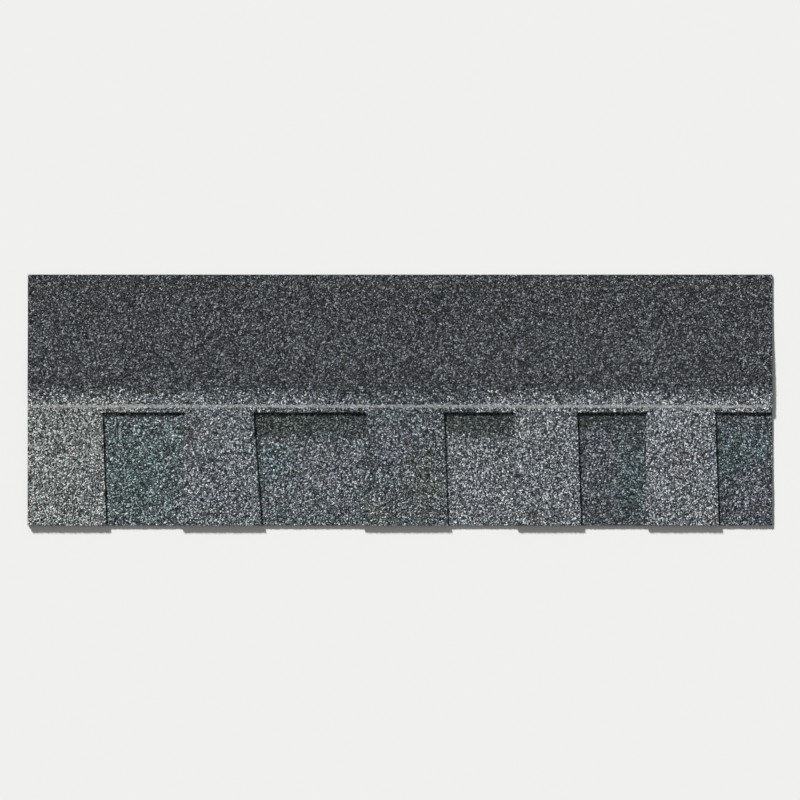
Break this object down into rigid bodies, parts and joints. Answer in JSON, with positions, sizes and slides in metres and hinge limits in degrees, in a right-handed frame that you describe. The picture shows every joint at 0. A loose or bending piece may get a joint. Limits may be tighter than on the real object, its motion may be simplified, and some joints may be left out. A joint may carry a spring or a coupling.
{
  "type": "laminated asphalt shingle",
  "caption": "Two-ply asphalt roof shingle: a granule-coated strip with flared teeth, glued over an underlay that shows in the slots between them.",
  "frame": {"origin": "under the middle of the shingle, on the floor it lies on", "axes": "+X along the butt edge to the right, +Y up the roof slope towards the top edge, +Z out of the exposed face"},
  "size_m": [1, 0.337, 0.0065],
  "materials": {
    "overlay_granules": "matte",
    "underlay_granules": "matte",
    "laminating_asphalt": "matte",
    "seal_asphalt": "satin",
    "release_film": "gloss"
  },
  "bodies": {
    "root": {"overlay_ply": "overlay_granules", "underlay_ply": "underlay_granules", "laminating_asphalt": "laminating_asphalt", "seal_dashes": "seal_asphalt", "release_film": "release_film"}
  },
  "joints": []
}
